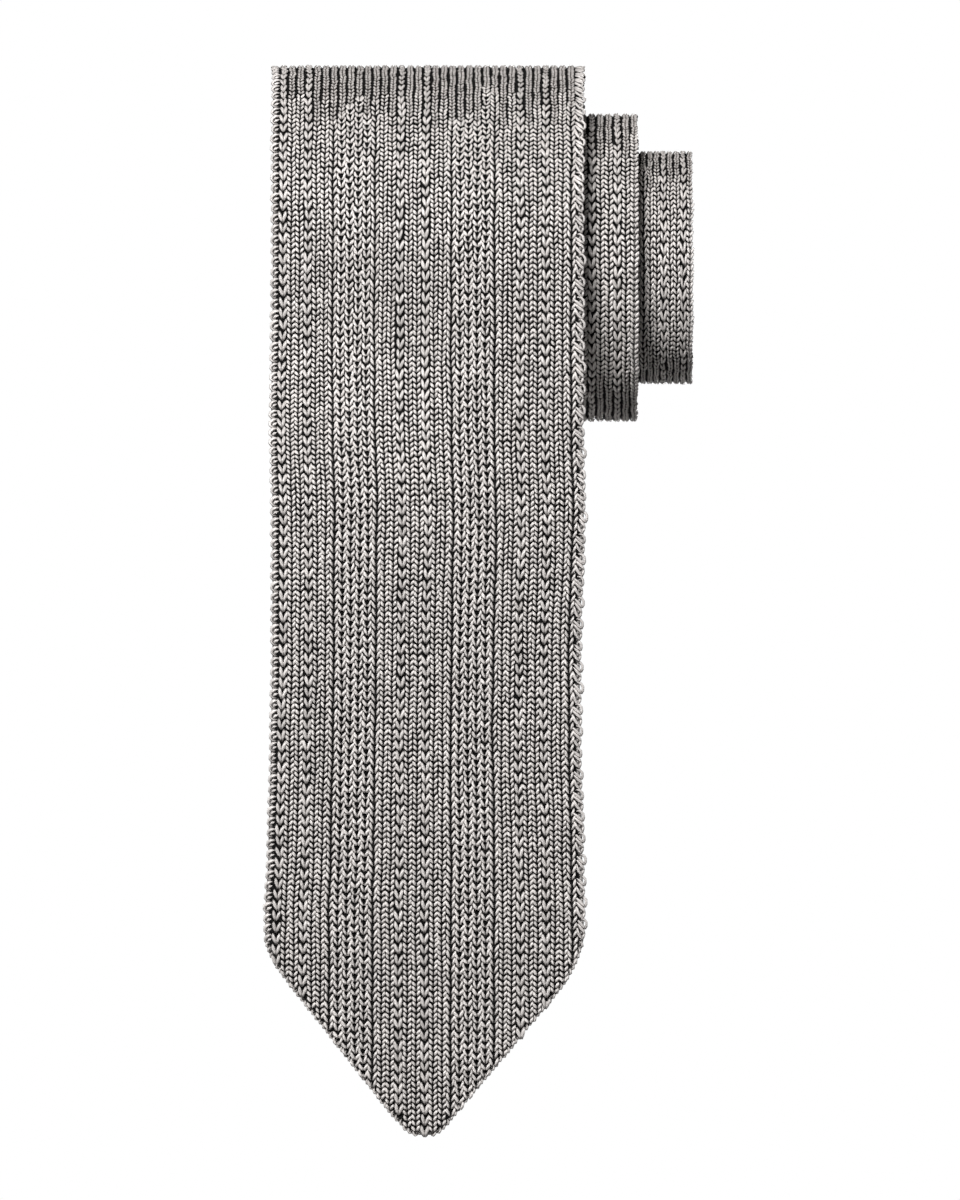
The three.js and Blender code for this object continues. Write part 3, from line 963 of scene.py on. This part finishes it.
def foldLine(x):  # one wale's way round the neck fold
    angles = np.linspace(0, math.pi, foldPlaces)
    xs, level = np.array([x]), np.array([stitchLevel])
    spots = np.array([foldPlace(angle, xs, level)[0] for angle in angles])
    inner = np.array([foldPlace(angle, xs, level * 0)[0] for angle in angles])
    turns = np.full(foldPlaces, roll["foldTurn"])
    return lineOf(turns, np.full(foldPlaces, x), spots, unit(spots - inner))


def insideFold(turn, x):
    left, right = wideEdges(turn)
    pitch = walePitch(turn)
    return (x > left + room["foldLeft"] * pitch) & (x < right - room["inner"] * pitch)


for wale in range(waleCount):
    line = foldLine(float(waleAt(roll["foldTurn"], wale)))
    stitches.add(line, everyCourse(line), "plain", insideFold, drawnIn, ribLook["never"])
frontPieces.append(knitPiece("turn_wales", stitches, fineShapes, 31))


def backOfRoll(turn, x):
    left, right = wideEdges(turn)
    first = (turn >= backFrom) & (turn < backTo)
    within = (x < right - edgeRoom(turn)) & (x > left + room["blade"] * walePitch(turn))
    return (first | standsOut("back", turn, x)) & within


stitches = Stitches()
frontWales(stitches, "plmt", backOfRoll)
frontPieces.append(knitPiece("roll_back_wales", stitches, plainShapes, 32))

# loops along the edges of the blade and small ones round its point
edge = {"inset": 0.85, "level": stitchLevel - 0.15, "tip": -0.998}
left, right = wideEdges(fineTurns)
rightLine = path(widePlace, 1, edge["level"], fineTurns, right - edge["inset"])
leftLine = path(widePlace, 1, edge["level"], fineTurns, left + edge["inset"])
edgeRuns = [  # line, shape, first and step in courses, from and to in turns
    (rightLine, "rightStrands", 2.0, 4.0, loopsFrom, loopsTo),
    (leftLine, "leftLoop", 0.5, 2.0, loopsFrom, roll["foldTurn"]),
    (rightLine, "hem", 0.3, 1.1, edge["tip"], loopsFrom),
    (leftLine, "hemLeft", 0.3, 1.1, edge["tip"], loopsFrom)]
stitches = Stitches()
for line, shape, first, step, low, high in edgeRuns:
    at = np.arange(first, line["count"][-1], step)
    stitches.add(line, at, shape, lambda turn, x: (turn > low) & (turn <= high), 1.0)
frontPieces.append(knitPiece("edge_loops", stitches, fineShapes, 33, knitLook["edgeUneven"]))

# the blade's back beside the tail
flap = {"rim": 1.4, "top": 0.5, "tailHides": 18.5, "tailEnds": -0.9, "slit": 0.6}
hangTurns = np.linspace(-1, 0.6, 1500)
stitches = Stitches()


def flapShown(turn, x):
    left, right = wideEdges(turn)
    away = (np.abs(x) > flap["tailHides"]) | (turn < flap["tailEnds"])
    within = (x > left + flap["rim"]) & (x < right - flap["rim"]) & (np.abs(x) > flap["slit"])
    return within & away & (turn < flap["top"])


for wale in range(waleCount):
    line = path(flapPlace, -1, stitchLevel, hangTurns, waleAt(hangTurns, wale))
    stitches.add(line, everyCourse(line), "plain", flapShown,
                 lambda turn: walePitch(turn) / drawnPitch)
frontPieces.append(knitPiece("blade_back_wales", stitches, plainShapes, 34))

# the tail's face
tailKnit = {"wales": 20, "rim": 1.5, "top": 0.3, "again": 4.8, "wide": 1.02, "beforeFold": 0.32}
tailTurns = np.linspace(tail["rise"] / roll["drop"] - 1, roll["foldTurn"] - tailKnit["beforeFold"],
                        4200)
tailMiddle = sum(tailEdges(tailTurns)) / 2
tailWidth = mixed(tail["width"], blade["neckWidth"], np.clip(tailTurns / roll["foldTurn"], 0, 1))
stitches = Stitches()


def tailShown(turn, x):
    left, right = tailEdges(turn)
    within = (x > left + tailKnit["rim"]) & (x < right - tailKnit["rim"])
    return within & ((turn < tailKnit["top"]) | (turn > tailKnit["again"]))


for wale in range(tailKnit["wales"]):
    xs = tailMiddle + tailWidth * ((wale + 0.5) / tailKnit["wales"] - 0.5)
    line = path(tailPlace, -1, stitchLevel, tailTurns, xs)
    stitches.add(line, everyCourse(line), "plain", tailShown, tailKnit["wide"])
tailPieces = [knitPiece("tail_wales", stitches, plainShapes, 35)]

for piece in [wideCloth, tailCloth, *frontPieces, *tailPieces]:
    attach(piece, "root")
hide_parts("wide_half")
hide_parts("tail_half")
for holder in (fineShapes, plainShapes):
    for shape in list(holder.objects):
        bpy.data.objects.remove(shape)
    bpy.data.collections.remove(holder)

# floor, light and camera
disc = {"radius": 0.62, "height": -1.10, "corners": 96, "paint": (0.8, 0.8, 0.8, 1),
        "roughness": 0.9}
floorMesh = bpy.data.meshes.new("floor")
angles = np.linspace(0, 2 * math.pi, disc["corners"] + 1)[:-1]
rim = [(disc["radius"] * math.cos(a), disc["radius"] * math.sin(a), disc["height"]) for a in angles]
floorMesh.from_pydata(rim, [], [list(range(disc["corners"]))])
floor = bpy.data.objects.new("floor", floorMesh)
floorPaint = Paint("pale floor", disc["roughness"])
floorPaint.put(disc["paint"], floorPaint.surface["Base Color"])
floorMesh.materials.append(floorPaint.material)
scene.collection.objects.link(floor)
floor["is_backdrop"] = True

white = (1, 1, 1, 1)
world = bpy.data.worlds.new("studio white")
scene.world = world
world.use_nodes = True
nodes, links = world.node_tree.nodes, world.node_tree.links
soft = nodes["Background"]  # what lights the tie
seen = nodes.new("ShaderNodeBackground")  # what the camera sees behind it
for background, strength in ((soft, 0.03), (seen, 1.0)):
    background.inputs["Color"].default_value = white
    background.inputs["Strength"].default_value = strength
rays = nodes.new("ShaderNodeLightPath")
choose = nodes.new("ShaderNodeMixShader")
links.new(rays.outputs["Is Camera Ray"], choose.inputs[0])
links.new(soft.outputs[0], choose.inputs[1])
links.new(seen.outputs[0], choose.inputs[2])
links.new(choose.outputs[0], nodes["World Output"].inputs["Surface"])

aim = Vector((0, 0, -0.06))
lamps = {  # place, size and power
    "key": ((-0.29, -1.26, 0.92), 0.5, 35.8), "fill": ((0.9, -1.2, 0.5), 0.8, 0.6),
    "behind": ((0.25, 1.5, -0.05), 0.8, 26), "left": ((-1.5, 0.35, -0.05), 0.8, 12),
    "right": ((1.5, 0.45, -0.05), 0.8, 9)}
for name, (spot, size, power) in lamps.items():
    light = bpy.data.lights.new(name, "AREA")
    light.shape = "DISK"
    light.size = size
    light.energy = power
    lamp = bpy.data.objects.new(name, light)
    lamp.location = spot
    lamp.rotation_euler = (aim - Vector(spot)).to_track_quat("-Z", "Y").to_euler()
    scene.collection.objects.link(lamp)
print("lights", len(lamps))

# a long lens, level with the middle of a frame of 960 x 1200 pixels
view = {"far": 10.0, "sharp": -0.03, "pixel": 0.25 * mm, "middle": (480, 600),
        "axisAt": (427, 267.4), "lower": 0.0002, "sensor": 36.0, "height": 1200}
eye = bpy.data.cameras.new("camera")
camera = bpy.data.objects.new("camera", eye)
scene.collection.objects.link(camera)
camera.location = ((view["middle"][0] - view["axisAt"][0]) * view["pixel"],
                   view["sharp"] - view["far"],
                   (view["axisAt"][1] - view["middle"][1]) * view["pixel"] - view["lower"])
camera.rotation_euler = (math.pi / 2, 0, 0)
eye.sensor_width = view["sensor"]
eye.lens = view["sensor"] * view["far"] / (view["height"] * view["pixel"])
eye.clip_start = 0.1
eye.clip_end = 30
scene.camera = camera
scene.view_settings.view_transform = "Standard"
print("camera", round(eye.lens, 1))

bpy.context.view_layer.update()
low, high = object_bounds()
print("size", [round(v, 4) for v in low], [round(v, 4) for v in high])
